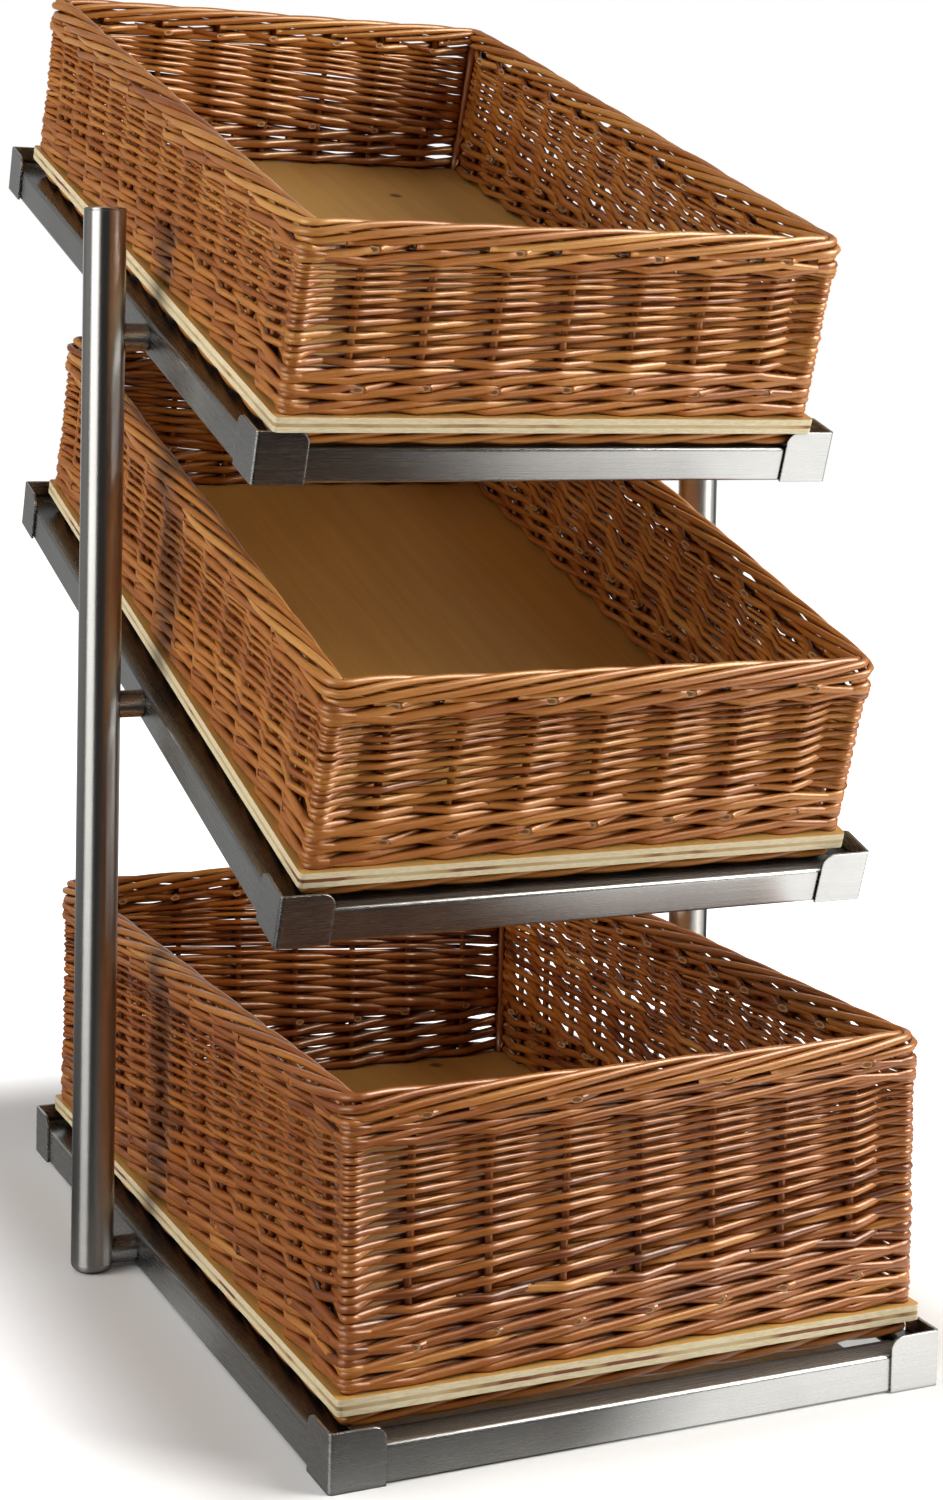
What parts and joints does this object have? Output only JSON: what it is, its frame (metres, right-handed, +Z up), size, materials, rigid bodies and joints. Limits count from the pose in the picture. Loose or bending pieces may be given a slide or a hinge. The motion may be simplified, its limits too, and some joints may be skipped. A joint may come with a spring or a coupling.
{
  "type": "bread rack",
  "caption": "Tiered bakery display rack of brushed steel tube, whose tilted trays hold lift-out woven willow baskets for bread.",
  "frame": {"origin": "on the floor, midway between the two uprights, which is the bottom centre of the rack's box within a few millimetres", "axes": "+X to the right, -Y to the front, +Z up"},
  "size_m": [0.424, 0.6616, 0.783],
  "materials": {
    "steel_round_tube": "fine satin grind along the tube",
    "steel_square_tube": "satin grind along the tube",
    "steel_plate": "satin grind",
    "steel_fixings": "bright",
    "plywood": "clear varnish",
    "willow": "honey-coloured varnish"
  },
  "bodies": {
    "rack": {"bottom_tray_corner_plates": "steel_plate", "bottom_tray_front_rail": "steel_square_tube", "bottom_tray_left_rail": "steel_square_tube", "bottom_tray_rear_rail": "steel_square_tube", "bottom_tray_right_rail": "steel_square_tube", "bottom_tray_screws": "steel_fixings", "left_upright": "steel_round_tube", "left_upright_stubs": "steel_round_tube", "middle_tray_corner_plates": "steel_plate", "middle_tray_front_rail": "steel_square_tube", "middle_tray_left_rail": "steel_square_tube", "middle_tray_rear_rail": "steel_square_tube", "middle_tray_right_rail": "steel_square_tube", "middle_tray_screws": "steel_fixings", "right_upright": "steel_round_tube", "right_upright_stubs": "steel_round_tube", "top_tray_corner_plates": "steel_plate", "top_tray_front_rail": "steel_square_tube", "top_tray_left_rail": "steel_square_tube", "top_tray_rear_rail": "steel_square_tube", "top_tray_right_rail": "steel_square_tube", "top_tray_screws": "steel_fixings", "upright_caps": "steel_round_tube", "upright_feet": "steel_round_tube"},
    "bottom_basket": {"bottom_basket_board": "plywood", "bottom_basket_border": "willow", "bottom_basket_corner_posts": "willow", "bottom_basket_foot_border": "willow", "bottom_basket_front_wall": "willow", "bottom_basket_left_wall": "willow", "bottom_basket_rear_wall": "willow", "bottom_basket_right_wall": "willow"},
    "middle_basket": {"middle_basket_board": "plywood", "middle_basket_border": "willow", "middle_basket_corner_posts": "willow", "middle_basket_foot_border": "willow", "middle_basket_front_wall": "willow", "middle_basket_left_wall": "willow", "middle_basket_rear_wall": "willow", "middle_basket_right_wall": "willow"},
    "top_basket": {"top_basket_board": "plywood", "top_basket_border": "willow", "top_basket_corner_posts": "willow", "top_basket_foot_border": "willow", "top_basket_front_wall": "willow", "top_basket_left_wall": "willow", "top_basket_rear_wall": "willow", "top_basket_right_wall": "willow"}
  },
  "joints": [
    {"name": "bottom_basket_lift", "type": "slide", "parent": "rack", "child": "bottom_basket", "axis": [0, 0, 1], "range_m": [0, 0.05]},
    {"name": "middle_basket_lift", "type": "slide", "parent": "rack", "child": "middle_basket", "axis": [0, -0.3223, 0.9466], "range_m": [0, 0.05]},
    {"name": "top_basket_lift", "type": "slide", "parent": "rack", "child": "top_basket", "axis": [0, -0.3223, 0.9466], "range_m": [0, 0.15]}
  ]
}
